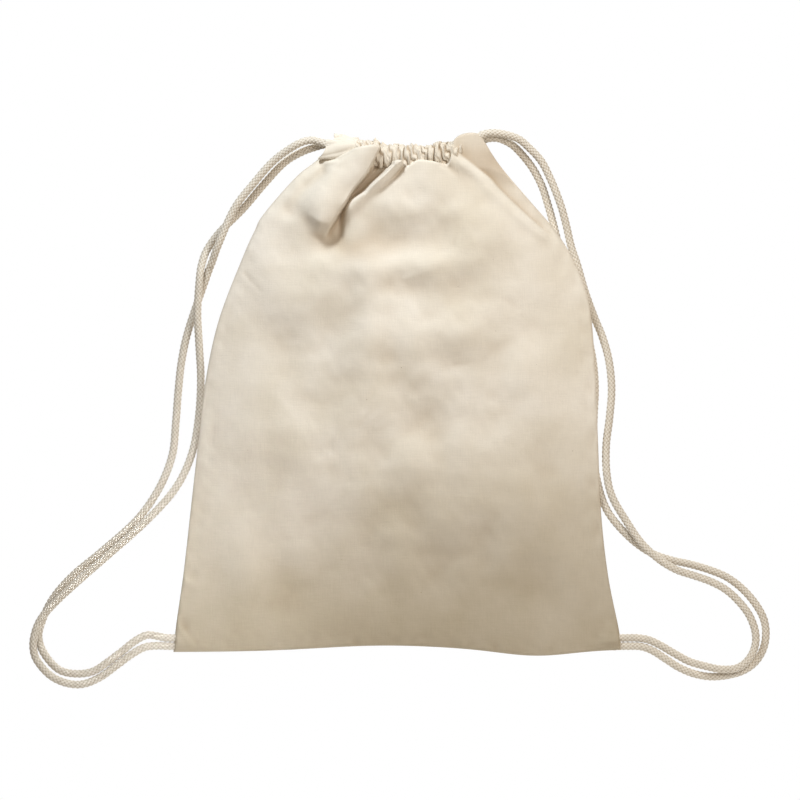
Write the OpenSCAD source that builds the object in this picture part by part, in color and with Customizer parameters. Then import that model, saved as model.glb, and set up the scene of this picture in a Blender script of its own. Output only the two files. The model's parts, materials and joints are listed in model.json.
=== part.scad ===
// Drawstring backpack: two cotton panels sewn along the sides and the bottom, a casing along
// each top edge, and two braided cords. Each cord runs through both casings, turns at the far
// end of the mouth, and comes back down to the bottom corner on its own side.
// The front faces -Y, +Z is up and the origin is the middle of the bottom edge.

/* [Bag] */
// Width across the bottom edge
bag_w = 380; // [360:5:400]
// Height of the drawn mouth above the bottom edge
bag_h = 434; // [420:2:448]
// Depth of the filled-out bag, front to back
bag_depth = 46; // [40:1:50]
// Thickness of the cotton cloth
cloth = 1.0; // [0.8:0.1:1.2]
// Width of the turned-in seam allowance
seam_w = 8; // [6:0.5:9]

/* [Casing] */
// Height of the gathered front casing's middle line, at the middle of the mouth
front_casing_z = 421; // [418:0.5:424]
// Height of the gathered back casing's middle line, at the middle of the mouth
back_casing_z = 424.5; // [423:0.5:427]
// Clear height inside a casing
casing_bore_h = 19; // [18:0.5:21]
// Clear depth inside a casing
casing_bore_d = 11; // [10:0.5:12]
// Number of gathers along a casing
gathers = 17; // [9:1:24]

/* [Cord] */
// Diameter of the braided cord
cord_d = 6.5; // [5:0.1:6.6]

/* [Sewing] */
// Distance from one stitch to the next
stitch_pitch = 9; // [7:0.5:12]
// Diameter of the thread
thread_d = 0.8; // [0.6:0.1:1.0]

/* [Hidden] */

natural = [0.90, 0.86, 0.76];
natural_dark = [0.82, 0.77, 0.66];
braid = [0.91, 0.88, 0.80];
thread = [0.86, 0.81, 0.70];

LEFT = -1;
RIGHT = 1;
FRONT = -1;
BACK = 1;

// The outlines below are drawn for a bag of this width and height, and fitted to the real one.
DRAWN_W = 380;
DRAWN_H = 434;
LEFT_EDGE = [[-190, 1], [-183, 60], [-173, 146], [-163, 228], [-146, 300], [-115, 371],
    [-86, 404], [-69, 418.5]];
RIGHT_EDGE = [[190, 1], [180, 60], [172, 146], [167, 228], [157, 305], [124, 371],
    [96, 402], [76, 429]];
// Where a side's upper half turns when the mouth opens, as a share of the edge's run
HINGE_S = 0.37;
SLIT_S = 0.93;
CORNER_Z = 8.5;

panel_cols = 24;
panel_rows = 26;
seam_gap = 1.05;
seam_t = 1.6;
corner_swell = 5;
mouth_left = -54;
mouth_right = 68;
mouth_mid = (mouth_left + mouth_right) / 2;
casing_y = 8.5;
hem_blend = 22;
// How far each casing rises from its middle to its left and right ends
front_rise = [3.5, 7];
back_rise = [11.5, 9.5];
casing_cols = 68;
casing_sides = 12;
gather_depth = 0.9;
cord_sides = 8;
// The two cords lie one above the other inside each casing.
cord_stack = 4.3;
// How far a cord's run sticks out of its own end of the casings
cord_out = 7;

function mix(a, b, t) = a + (b - a) * t;
function clamp01(t) = min(max(t, 0), 1);
function smooth(t) = let (c = clamp01(t)) c * c * (3 - 2 * c);
function unit(v) = v / norm(v);
function fit(x, z) = [x * bag_w / DRAWN_W, z * bag_h / DRAWN_H];
function fit3(p) = [p.x * bag_w / DRAWN_W, p.y, p.z * bag_h / DRAWN_H];

// A smooth curve through the points of a list, from s = 0 at the first to s = 1 at the last
function knot(p, i) = p[min(max(i, 0), len(p) - 1)];
function cubic(a, b, c, d, t) =
    (2 * b + (c - a) * t + (2 * a - 5 * b + 4 * c - d) * t * t + (3 * b - a - 3 * c + d) * t * t * t) / 2;
function curve(p, s) =
    let (x = clamp01(s) * (len(p) - 1), i = min(floor(x), len(p) - 2))
    cubic(knot(p, i - 1), knot(p, i), knot(p, i + 1), knot(p, i + 2), x - i);

function edge(side, s) = let (p = curve(side == LEFT ? LEFT_EDGE : RIGHT_EDGE, s)) fit(p.x, p.y);

// Rings of points joined into a closed skin: ring k has the same number of points as ring k + 1.
function skin_faces(rings, n) = concat(
    [for (k = [0:rings - 2], i = [0:n - 1]) [k * n + i, k * n + (i + 1) % n, (k + 1) * n + i]],
    [for (k = [0:rings - 2], i = [0:n - 1])
        [k * n + (i + 1) % n, (k + 1) * n + (i + 1) % n, (k + 1) * n + i]],
    [[for (i = [n - 1:-1:0]) i]],
    [[for (i = [0:n - 1]) (rings - 1) * n + i]]);

// A round cord along a list of points. "across" is a direction that the path never runs along.
module cord(points, across) {
    last = len(points) - 1;
    rings = [for (k = [0:last])
        let (run = unit(points[min(k + 1, last)] - points[max(k - 1, 0)]),
            a = unit(cross(run, across)), b = cross(a, run))
        for (i = [0:cord_sides - 1])
            let (turn = 360 * (i + 0.5) / cord_sides)
            points[k] + cord_d / 2 * (cos(turn) * a + sin(turn) * b)];
    polyhedron(rings, skin_faces(last + 1, cord_sides), 4);
}

// A folded strip of cloth between two panels, from the edge inwards
module edge_strip(side, from, to, steps) {
    rings = [for (k = [0:steps])
        let (e = edge(side, mix(from, to, k / steps)))
        for (c = [[0, -1], [0, 1], [1, 1], [1, -1]])
            [e.x - side * c[0] * seam_w, c[1] * seam_t / 2, e.y]];
    polyhedron(rings, side == LEFT ? skin_faces(steps + 1, 4)
        : [for (f = skin_faces(steps + 1, 4)) [for (i = [len(f) - 1:-1:0]) f[i]]], 4);
}

// Thread that crosses the seam allowance
module edge_stitches(side, from, to, count) {
    for (k = [0:count - 1]) {
        e = edge(side, mix(from, to, (k + 0.5) / count));
        translate([e.x - side * seam_w / 2, 0, e.y])
            rotate([90, 0, 0])
                cylinder(h = seam_t + 0.4, d = thread_d, center = true, $fn = 16);
    }
}

// How far the cloth stands out from the seam plane: a pillow, with a tunnel for the cords at
// each bottom corner
function pillow(u, v) = pow(4 * u * (1 - u), 0.8)
    * (v < 0.4 ? pow(sin(90 * v / 0.4), 0.7) : mix(1, 0.357, smooth((v - 0.4) / 0.6)));
function corner_bump(x, z) =
    exp(-pow((abs(x) - bag_w / 2 + 2) / 18, 2) - pow((z - CORNER_Z) / 14, 2));
function panel_depth(u, v, x, z) = seam_gap
    + (bag_depth / 2 - seam_gap - cloth) * pillow(u, v) + corner_swell * corner_bump(x, z);

// The cloth's top edge meets its casing's lower side along the mouth, and keeps the side seam's
// height at each end.
function hem_z(face, x) = casing_z(face, x) - casing_bore_h / 2 + 0.3;
function hem_drop(face, u) =
    let (l = edge(LEFT, 1), r = edge(RIGHT, 1), x = mix(l.x, r.x, u))
    (mix(l.y, r.y, u) - hem_z(face, x)) * smooth(min(x - l.x, r.x - x) / hem_blend);

// Columns crowd towards the side seams, and rows towards the bottom.
function col(i) = (1 - cos(180 * i / panel_cols)) / 2;
function row(j) = pow(j / panel_rows, 1.5);
function panel_point(face, u, v, proud) =
    let (l = edge(LEFT, v), r = edge(RIGHT, v), x = mix(l.x, r.x, u),
        z = mix(l.y, r.y, u) - hem_drop(face, u) * pow(v, 6))
    [x, face * (panel_depth(u, v, x, z) + proud), z];

module panel(face) {
    n = panel_cols + 1;
    m = panel_rows + 1;
    grid = [for (proud = [0, cloth], j = [0:panel_rows], i = [0:panel_cols])
        panel_point(face, col(i), row(j), proud)];
    rim = concat([for (i = [0:panel_cols]) i], [for (j = [1:panel_rows]) j * n + panel_cols],
        [for (i = [panel_cols - 1:-1:0]) panel_rows * n + i], [for (j = [panel_rows - 1:-1:1]) j * n]);
    cells = [for (j = [0:panel_rows - 1], i = [0:panel_cols - 1]) j * n + i];
    inner = concat([for (c = cells) [c, c + 1, c + n + 1]], [for (c = cells) [c, c + n + 1, c + n]]);
    outer = [for (f = inner) [f[0] + n * m, f[2] + n * m, f[1] + n * m]];
    sides = [for (k = [0:len(rim) - 1]) let (a = rim[k], b = rim[(k + 1) % len(rim)])
        for (f = [[a, a + n * m, b + n * m], [a, b + n * m, b]]) f];
    all_faces = concat(inner, outer, sides);
    polyhedron(grid, face == BACK ? all_faces
        : [for (f = all_faces) [f[2], f[1], f[0]]], 4);
}

// The casings and what runs in them
function casing_z(face, x) =
    let (t = (x - mouth_mid) / (mouth_right - mouth_mid), side = t < 0 ? 0 : 1)
    (face == FRONT ? front_casing_z + front_rise[side] * t * t
        : back_casing_z + back_rise[side] * t * t) * bag_h / DRAWN_H;
function mouth_x(x) = x * bag_w / DRAWN_W;

module casing(face) {
    rings = [for (shell = [0, 1], k = [0:casing_cols], i = [0:casing_sides - 1])
        let (x = mix(mouth_left, mouth_right, k / casing_cols), turn = 360 * i / casing_sides,
            ruffle = gather_depth * pow(sin(180 * gathers * k / casing_cols), 2) + cloth * shell)
        [mouth_x(x), face * (casing_y + (casing_bore_d / 2 + ruffle) * cos(turn)),
            casing_z(face, x) + (casing_bore_h / 2 + ruffle) * sin(turn)]];
    n = casing_sides;
    shell_pts = (casing_cols + 1) * n;
    inner = [for (f = skin_faces(casing_cols + 1, n)) if (len(f) == 3) f];
    outer = [for (f = inner) [f[2] + shell_pts, f[1] + shell_pts, f[0] + shell_pts]];
    end = casing_cols * n;
    ends = [for (i = [0:n - 1]) let (j = (i + 1) % n)
        for (f = [[i, j + shell_pts, j], [i, i + shell_pts, j + shell_pts],
            [end + i, end + j, end + j + shell_pts], [end + i, end + j + shell_pts, end + i + shell_pts]]) f];
    all_faces = concat(inner, outer, ends);
    polyhedron(rings, face == BACK ? all_faces
        : [for (f = all_faces) [f[2], f[1], f[0]]], 8);
}

module casing_stitches(face) {
    count = floor((mouth_right - mouth_left - 16) / (stitch_pitch / 2));
    for (k = [0:count - 1]) {
        x = mix(mouth_left + 8, mouth_right - 8, k / (count - 1));
        translate([mouth_x(x), face * casing_y, casing_z(face, x) - casing_bore_h / 2 - 0.5])
            rotate([90, 0, 0])
                cylinder(h = 5, d = thread_d, center = true, $fn = 16);
    }
}

// The lower cord climbs late in its turn and the upper one early, so that they stay apart.
function climb(side, t) = side == RIGHT ? pow(smooth(t), 1.6) : 1 - pow(smooth(1 - t), 1.6);

// The part of a cord that is inside the casings: in through one casing, round the far end of
// the mouth, and back through the other
module cord_run(side) {
    near = side == LEFT ? mouth_left - cord_out : mouth_right + cord_out;
    far = side == LEFT ? mouth_right : mouth_left;
    lift = side == LEFT ? cord_stack : -cord_stack;
    steps = 30;
    points = concat(
        [for (k = [0:steps]) let (x = mix(near, far, k / steps))
            [mouth_x(x), FRONT * casing_y, casing_z(FRONT, x) + lift]],
        [for (k = [1:9]) let (a = 18 * k, x = far - side * casing_y * sin(a))
            [mouth_x(x), FRONT * casing_y * cos(a),
                mix(casing_z(FRONT, far), casing_z(BACK, far), climb(side, k / 10)) + lift]],
        [for (k = [steps:-1:0]) let (x = mix(near, far, k / steps))
            [mouth_x(x), BACK * casing_y, casing_z(BACK, x) + lift]]);
    cord(points, [0, 0, 1]);
}

// The two strands of each shoulder loop, from the mouth to the bottom corner
LEFT_OUTER = [[-68, -3.7, 435], [-86, -2, 431], [-105, 5, 418], [-139, 9, 377], [-154, 9, 344],
    [-158, 13, 332], [-163, 17, 319], [-178, 17, 275], [-187, 15, 221], [-192, 11, 167],
    [-222, 6, 112], [-276, 5, 65], [-299, 4, 35], [-304, 3, 8], [-291, 2, -13], [-266, 1, -18],
    [-237, 0, -1], [-214, 0, 14], [-200, 0, 12]];
LEFT_INNER = [[-68, 3.7, 431], [-82, 6, 425], [-97, 12, 416], [-132, 17, 377], [-154, 17, 355],
    [-162, 17, 344], [-166.5, 13, 331], [-168.5, 9, 318], [-170, 9, 275], [-168, 9, 231],
    [-171, 8, 190], [-189, 4, 139], [-243, -1, 85], [-289, -4, 44], [-308, -3, 18],
    [-308, -2, -4], [-290, -1, -23], [-262, 0, -26], [-233, 0, -8], [-214, 0, 4], [-200, 0, 5]];
RIGHT_OUTER = [[84, -3.7, 442], [101, 0, 437], [122, 6, 418], [140, 10, 377], [148, 13, 345],
    [160, 13, 306], [174, 11, 268], [182, 9, 224], [178, 7, 180], [178, 3, 150], [193, 0, 112],
    [218, -4, 82], [252, -3, 65], [289, -2, 43], [304, -2, 16], [296, -3, -8], [272, -3, -13],
    [240, 0, -4], [216, 0, 10], [200, 0, 12]];
RIGHT_INNER = [[84, 3.7, 438], [97, 8, 432], [114, 14, 413], [128, 19, 382], [138, 20, 345],
    [155, 18, 295], [166, 14, 248], [167, 10, 200], [168, 8, 160], [178, 6, 121], [205, 5, 91],
    [242, 5, 76], [281, 3, 63], [306, 2, 37], [313, 3, 12], [304, 4, -9], [280, 4, -19],
    [252, 2, -19], [228, 0, -6], [212, 0, 4], [200, 0, 5]];

module strand(path) {
    steps = 4 * (len(path) - 1);
    cord([for (k = [0:steps]) fit3(curve(path, k / steps))], [0, 1, 0]);
}

// The cord's two ends, held in the bottom corner
module cord_tails(side) {
    for (z = [CORNER_Z - 3.5, CORNER_Z + 3.5])
        cord([for (x = [198, 192, 186, 180]) fit3([side * x, 0, z])], [0, 1, 0]);
}

// A dense row of thread that stops a seam from opening: laid bars across the cloth
module bartack(x, z, tilt, y) {
    for (k = [-3:3])
        translate([x, 0, z])
            rotate([0, tilt, 0])
                translate([k * thread_d * 1.3, 0, 0])
                    for (face = [FRONT, BACK])
                        translate([0, face * y, 0])
                            cylinder(h = 6, d = thread_d, center = true, $fn = 16);
}

module front_panel() { color(natural) panel(FRONT); }
module back_panel() { color(natural) panel(BACK); }
module front_casing() { color(natural) casing(FRONT); }
module back_casing() { color(natural) casing(BACK); }
module front_casing_stitching() { color(thread) casing_stitches(FRONT); }
module back_casing_stitching() { color(thread) casing_stitches(BACK); }

module bottom_seam() {
    half = bag_w / 2 - 16;
    color(natural_dark)
        translate([-half, -seam_t / 2, 1])
            cube([2 * half, seam_t, seam_w]);
}

module bottom_seam_stitching() {
    half = bag_w / 2 - 22;
    count = floor(2 * half / stitch_pitch);
    color(thread)
        for (k = [0:count])
            translate([mix(-half, half, k / count), 0, 1 + seam_w / 2])
                rotate([90, 0, 0])
                    cylinder(h = seam_t + 0.4, d = thread_d, center = true, $fn = 16);
}

module lower_side_seam(side) { color(natural_dark) edge_strip(side, 0.06, HINGE_S - 0.01, 12); }
module upper_side_seam(side) { color(natural_dark) edge_strip(side, HINGE_S + 0.01, SLIT_S, 20); }
module side_stitching(side) {
    color(thread) edge_stitches(side, HINGE_S + 0.02, SLIT_S - 0.02, 28);
}

module slit_bartack(side) {
    e = edge(side, SLIT_S);
    color(thread) bartack(e.x - side * seam_w / 2, e.y - 5, -side * 40, seam_t / 2 - 0.2);
}

module corner_bartack(side) {
    color(thread) bartack(side * (bag_w / 2 - 14), 14, 0, seam_gap + 3);
}

module left_lower_side_seam() { lower_side_seam(LEFT); }
module right_lower_side_seam() { lower_side_seam(RIGHT); }
module left_corner_bartack() { corner_bartack(LEFT); }
module right_corner_bartack() { corner_bartack(RIGHT); }
module left_cord_run() { color(braid) cord_run(LEFT); }
module right_cord_run() { color(braid) cord_run(RIGHT); }
module left_upper_side_seam() { upper_side_seam(LEFT); }
module left_side_stitching() { side_stitching(LEFT); }
module left_slit_bartack() { slit_bartack(LEFT); }
module right_upper_side_seam() { upper_side_seam(RIGHT); }
module right_side_stitching() { side_stitching(RIGHT); }
module right_slit_bartack() { slit_bartack(RIGHT); }
module left_cord_tails() { color(braid) cord_tails(LEFT); }
module right_cord_tails() { color(braid) cord_tails(RIGHT); }
module left_shoulder_cord() { color(braid) { strand(LEFT_OUTER); strand(LEFT_INNER); } }
module right_shoulder_cord() { color(braid) { strand(RIGHT_OUTER); strand(RIGHT_INNER); } }

front_panel();
back_panel();
front_casing();
back_casing();
front_casing_stitching();
back_casing_stitching();
bottom_seam();
bottom_seam_stitching();
left_lower_side_seam();
right_lower_side_seam();
left_corner_bartack();
right_corner_bartack();
left_cord_run();
right_cord_run();
left_upper_side_seam();
left_side_stitching();
left_slit_bartack();
right_upper_side_seam();
right_side_stitching();
right_slit_bartack();
left_cord_tails();
right_cord_tails();
left_shoulder_cord();
right_shoulder_cord();
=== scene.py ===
"""Drawstring backpack: cotton panels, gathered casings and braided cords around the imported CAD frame.

The shapes are worked out in millimetres in the frame's own axes (x to the right, y to the back, z up);
add_mesh() turns them into metres. Materials, lights, the floor and the camera are in metres.
"""

import json
import math

import bpy
import numpy as np
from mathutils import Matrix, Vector

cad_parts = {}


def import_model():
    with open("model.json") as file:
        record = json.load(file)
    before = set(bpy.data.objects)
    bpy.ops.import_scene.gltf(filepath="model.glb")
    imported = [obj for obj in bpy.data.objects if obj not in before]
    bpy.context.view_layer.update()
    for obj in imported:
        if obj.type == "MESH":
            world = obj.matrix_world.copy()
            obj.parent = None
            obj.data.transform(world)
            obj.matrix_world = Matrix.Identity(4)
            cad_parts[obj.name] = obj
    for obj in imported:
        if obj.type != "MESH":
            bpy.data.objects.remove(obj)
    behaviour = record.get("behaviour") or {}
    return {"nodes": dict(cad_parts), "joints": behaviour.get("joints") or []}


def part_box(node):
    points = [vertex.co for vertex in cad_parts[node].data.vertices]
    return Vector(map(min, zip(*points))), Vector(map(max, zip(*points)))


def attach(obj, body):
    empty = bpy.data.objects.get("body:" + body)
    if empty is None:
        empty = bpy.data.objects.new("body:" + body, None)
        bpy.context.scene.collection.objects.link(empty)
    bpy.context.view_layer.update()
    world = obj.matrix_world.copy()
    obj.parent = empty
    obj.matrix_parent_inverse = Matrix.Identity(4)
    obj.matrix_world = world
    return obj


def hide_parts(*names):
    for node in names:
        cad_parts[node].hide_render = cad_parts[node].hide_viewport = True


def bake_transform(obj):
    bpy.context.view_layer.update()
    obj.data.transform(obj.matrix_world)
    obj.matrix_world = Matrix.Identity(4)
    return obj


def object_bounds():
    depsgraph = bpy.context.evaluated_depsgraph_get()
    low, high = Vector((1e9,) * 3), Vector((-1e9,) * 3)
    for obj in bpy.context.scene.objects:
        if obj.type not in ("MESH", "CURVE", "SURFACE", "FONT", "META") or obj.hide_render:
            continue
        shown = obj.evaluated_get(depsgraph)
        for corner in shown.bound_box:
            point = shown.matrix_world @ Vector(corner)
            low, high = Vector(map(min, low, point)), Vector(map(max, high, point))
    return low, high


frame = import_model()
cad_low, cad_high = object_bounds()

MM = 0.001
FRONT, BACK = -1, 1
FACE_NAME = {FRONT: "front", BACK: "back"}
CLOTH = 0.7         # thickness
FLAT_WIDTH = 380.0  # of the bottom edge
panel_low, panel_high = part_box("front_panel")
BAG_HALF = (panel_high.x - panel_low.x) / 2 / MM


# -------------------- curves and fields

SPLINE_STEPS = 24   # points between two given ones
GRAPH_STEPS = 400   # points of a whole graph


def smooth(t):
    """0 below 0, 1 above 1 and a soft step between."""
    t = np.clip(t, 0.0, 1.0)
    return t * t * (3 - 2 * t)


def spline(points, count):
    """Evenly spaced points along a Catmull-Rom curve through the given points."""
    p = np.array(points, float)
    p = np.vstack([2 * p[0] - p[1], p, 2 * p[-1] - p[-2]])
    out = []
    for i in range(1, len(p) - 2):
        t = np.linspace(0, 1, SPLINE_STEPS, endpoint=False)[:, None]
        a, b, c, d = p[i - 1], p[i], p[i + 1], p[i + 2]
        out.append((2 * b + (c - a) * t + (2 * a - 5 * b + 4 * c - d) * t ** 2
                    + (3 * b - a - 3 * c + d) * t ** 3) / 2)
    fine = np.vstack(out + [p[-2][None]])
    run = np.concatenate([[0], np.cumsum(np.linalg.norm(np.diff(fine, axis=0), axis=1))])
    s = np.linspace(0, run[-1], count)
    return np.stack([np.interp(s, run, fine[:, k]) for k in range(fine.shape[1])], axis=1)


def graph(points, at):
    """Value of a smooth curve through (key, value) points at the given keys. The keys rise."""
    fine = spline(points, GRAPH_STEPS)
    return np.interp(at, fine[:, 0], fine[:, 1])


def bump(x, z, cx, cz, rx, rz):
    """A round hill of height 1 at (cx, cz)."""
    return np.exp(-((x - cx) / rx) ** 2 - ((z - cz) / rz) ** 2)


def hills(x, z, table):
    """The sum of hills, each given as x, z, reach in x, reach in z and height."""
    return sum(height * bump(x, z, *place) for *place, height in table)


def line_dist(x, z, points):
    """Distance to a polyline, and how far along it (0 to 1) the nearest point is."""
    p = np.array(points, float)
    legs = np.linalg.norm(np.diff(p, axis=0), axis=1)
    run = np.concatenate([[0], np.cumsum(legs)])
    best = np.full(np.shape(x), 1e9)
    along = np.zeros(np.shape(x))
    for k in range(len(p) - 1):
        d = (p[k + 1] - p[k]) / legs[k]
        t = np.clip((x - p[k][0]) * d[0] + (z - p[k][1]) * d[1], 0, legs[k])
        dist = np.hypot(x - p[k][0] - t * d[0], z - p[k][1] - t * d[1])
        nearer = dist < best
        best = np.where(nearer, dist, best)
        along = np.where(nearer, (run[k] + t) / run[-1], along)
    return best, along


def ridge(x, z, points, height, width):
    """A long soft fold of cloth: (height, width) at its start and at its end."""
    dist, along = line_dist(x, z, points)
    h = height[0] + (height[1] - height[0]) * along
    w = width[0] + (width[1] - width[0]) * along
    return h * np.exp(-(dist / w) ** 2)


def folds(x, z, table):
    """The sum of ridges, each given as its line, its two heights and its two widths."""
    return sum(ridge(x, z, *fold) for fold in table)


def waves(x, z, seed, lengths, heights, count=9):
    """Low swells in the cloth: a few plane waves of each length."""
    rng = np.random.RandomState(seed)
    total = np.zeros(np.shape(x))
    for length, height in zip(lengths, heights):
        for _ in range(count):
            a, phase = rng.uniform(0, 2 * math.pi, 2)
            k = 2 * math.pi / (length * rng.uniform(0.7, 1.4))
            total += height / math.sqrt(count) * np.sin(k * (x * math.cos(a) + z * math.sin(a)) + phase)
    return total


def crumple(x, z, seed, count=34):
    """Short faint creases left by folding, scattered over a panel."""
    rng = np.random.RandomState(seed)
    total = np.zeros(np.shape(x))
    for _ in range(count):
        cx, cz, turn = rng.uniform(-150, 150), rng.uniform(20, 390), rng.uniform(0, math.pi)
        half, bend = rng.uniform(8, 26), rng.uniform(-5, 5)
        height, width = rng.uniform(-0.42, 0.42), rng.uniform(1.4, 2.4)
        dx, dz = math.cos(turn), math.sin(turn)
        line = [(cx - half * dx, cz - half * dz), (cx - bend * dz, cz + bend * dx),
                (cx + half * dx, cz + half * dz)]
        total += ridge(x, z, line, (height, 0.2 * height), (width, 2.5 * width))
    return total


def blurred(field, reach):
    """The mean of a grid of values over a square of 2 * reach + 1 places."""
    wide = 2 * reach + 1
    for axis in (0, 1):
        ends = [(reach + 1, reach) if k == axis else (0, 0) for k in (0, 1)]
        total = np.cumsum(np.pad(field, ends, mode="edge"), axis=axis)
        field = (np.take(total, range(wide, total.shape[axis]), axis)
                 - np.take(total, range(total.shape[axis] - wide), axis)) / wide
    return field


# -------------------- meshes

def grid_faces(rows, cols, offset=0, flip=False, wrap=False):
    """Quads of a grid of vertices. With wrap, the last column joins the first."""
    j, i = np.meshgrid(np.arange(rows - 1), np.arange(cols if wrap else cols - 1), indexing="ij")
    i2 = (i + 1) % cols
    quads = np.stack([j * cols + i, j * cols + i2, (j + 1) * cols + i2, (j + 1) * cols + i], -1)
    quads = quads.reshape(-1, 4) + offset
    return quads[:, ::-1] if flip else quads


def strip_faces(a, b):
    """Quads between two equally long lists of vertex numbers."""
    a, b = np.asarray(a), np.asarray(b)
    return np.stack([a[:-1], a[1:], b[1:], b[:-1]], -1)


def add_mesh(name, verts_mm, faces, material, normals=None):
    mesh = bpy.data.meshes.new(name)
    faces = faces.tolist() if isinstance(faces, np.ndarray) else faces
    mesh.from_pydata((np.asarray(verts_mm) * MM).tolist(), [], faces)
    mesh.update()
    mesh.polygons.foreach_set("use_smooth", [True] * len(mesh.polygons))
    mesh.materials.append(material)
    if normals is not None:
        mesh.normals_split_custom_set_from_vertices(normals.tolist())
    obj = bpy.data.objects.new(name, mesh)
    bpy.context.scene.collection.objects.link(obj)
    return obj


def vertex_value(obj, name, values):
    """A named value on each vertex, which the materials read."""
    obj.data.attributes.new(name, "FLOAT", "POINT").data.foreach_set("value", values.astype(np.float32))


def vertex_normals(verts, faces):
    v, f = np.asarray(verts, float), np.asarray(faces)
    n = np.cross(v[f[:, 2]] - v[f[:, 0]], v[f[:, 3]] - v[f[:, 1]])
    out = np.zeros_like(v)
    for k in range(4):
        np.add.at(out, f[:, k], n)
    return out / np.maximum(np.linalg.norm(out, axis=1), 1e-12)[:, None]


# -------------------- the cloth's halves, and the mouth's joints

SPLIT_X = 7.0    # where the left and the right half meet
MOUTH_Z = 430.0


def joint(name):
    return next(j for j in frame["joints"] if j["name"] == name)


def mouth_blend(obj, side):
    """Bakes the object's placing into its mesh. The fold line from a side's hinge to the middle of the
    mouth is worked out but not used: the cloth does not turn with the mouth."""
    hinge = np.array(joint(side + "_mouth_open")["pos_m"])[[0, 2]] / MM
    fold = np.array([SPLIT_X, MOUTH_Z]) - hinge
    fold /= np.linalg.norm(fold)
    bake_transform(obj)


def halves(x):
    """The places of each half in a rising run of x. They share the one at the split."""
    split = int(np.argmin(np.abs(x - SPLIT_X)))
    return ("left", slice(0, split + 1)), ("right", slice(split, len(x)))


def cloth_half(node_name, side, outer, inner, normals, faces, painted_shade, material):
    """One half of a closed double skin. It stands for a CAD node, which it hides."""
    out = normals.reshape(-1, 3)
    obj = add_mesh(f"{node_name}_{side}", np.concatenate([outer.reshape(-1, 3), inner.reshape(-1, 3)]),
                   faces, material, np.concatenate([out, -out]))
    # painted shade of each vertex, which darkens the cloth's colour
    vertex_value(obj, "painted_shade", np.tile(painted_shade.ravel(), 2))
    mouth_blend(obj, side)
    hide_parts(node_name)


# -------------------- outline of the panels

# (x, z) up each side seam, from the bottom corner to the mouth
LEFT_EDGE = [(-190.5, 0), (-188, 24), (-182, 66), (-176, 119), (-170, 173), (-163.6, 228),
             (-152, 282), (-131, 337), (-121.5, 358), (-114, 372), (-86, 404), (-65, 420)]
RIGHT_EDGE = [(190.5, 2), (188, 20), (179, 65), (173, 119), (170.4, 180), (168, 241),
              (163, 296), (151, 330), (135, 357), (112, 384), (89, 411), (76, 430)]
LEFT_TOP, RIGHT_TOP, RIGHT_FOOT = LEFT_EDGE[-1][1], RIGHT_EDGE[-1][1], RIGHT_EDGE[0][1]

# (x, z) along the top of each panel, where it disappears into its casing
FRONT_TOP = [(-66, 420), (-60, 418.4), (-54, 418.4), (-48, 419.5), (-42, 422), (-35, 425.5), (-22, 428),
             (-15, 427), (-12.5, 418), (-9, 414.5), (-4, 414), (0, 415), (4, 414.5), (8, 410.5),
             (12, 412.5), (18, 415.5), (28, 414.5), (37, 412.5), (42, 412), (44.5, 416), (46, 422),
             (47.5, 431), (50, 434.5), (54, 437), (60, 438.5), (66, 438.5), (70.5, 437.5), (73.5, 434.5),
             (77, 429)]
BACK_TOP = [(-68, 420), (-63, 421), (-58, 426), (-50, 426), (-44, 424), (-36, 421), (-24, 418),
            (-10, 413.5), (20, 413), (45, 416), (64, 421), (72, 426), (77, 431)]

PANEL_COLS, PANEL_ROWS = 236, 246
SEAM_COLS = [0, 0.35, 0.8, 1.4, 2.2, 3.4, 5.0, 6.8]          # distances from a side seam
BOTTOM_ROWS = [0, 0.0008, 0.002, 0.0035, 0.0055, 0.0085]     # shares of the height


def edge_x(points, z):
    return graph([(height, x) for x, height in points], z)


def bottom_z(x):
    """The bottom edge rises a little in the middle and sags at the right."""
    level = RIGHT_FOOT * (x / BAG_HALF + 1) / 2
    return level + 4.5 * np.exp(-((x + 12) / 75) ** 2) - 5.0 * np.exp(-((x - 118) / 42) ** 2)


def panel_grid(top_points):
    """Points (x, z) of a panel, with their share across (U) and up (T). The grid is finer at the seams."""
    near = np.array(SEAM_COLS[:-1]) / FLAT_WIDTH
    inset = SEAM_COLS[-1] / FLAT_WIDTH
    u = np.concatenate([near, np.linspace(inset, 1 - inset, PANEL_COLS - 2 * len(near)), 1 - near[::-1]])
    t = np.concatenate([BOTTOM_ROWS[:-1],
                        np.linspace(BOTTOM_ROWS[-1], 1, PANEL_ROWS - len(BOTTOM_ROWS) + 1)])
    low = 0.02  # above this the rows crowd towards the top
    t = np.where(t > low, 1 - (1 - low) * ((1 - t) / (1 - low)) ** 1.12, t)
    zl, zr = t * LEFT_TOP, RIGHT_FOOT + t * (RIGHT_TOP - RIGHT_FOOT)
    xl, xr = edge_x(LEFT_EDGE, zl), edge_x(RIGHT_EDGE, zr)
    U, T = np.meshgrid(u, t)
    X = xl[:, None] + (xr - xl)[:, None] * U
    Z = zl[:, None] + (zr - zl)[:, None] * U
    Z = Z + (bottom_z(X) - RIGHT_FOOT * U) * (1 - T) ** 10
    lift = (graph(top_points, X[-1]) - Z[-1]) * smooth(np.minimum(u, 1 - u) / 0.02)
    Z = Z + lift[None, :] * smooth((T - 0.80) / 0.20) ** 1.6
    return X, Z, U, T


def seam_roll(X, Z, U):
    """The turned seam, where the cloth rises in a small roll; and the distance from the seam line."""
    width = X[:, -1:] - X[:, :1]
    side = np.minimum(U, 1 - U) * width
    dist = np.minimum(side, Z - Z[0][None, :])
    return 1.6 * np.sqrt(1 - (1 - np.clip(dist / 1.8, 0, 1)) ** 2), dist


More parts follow.
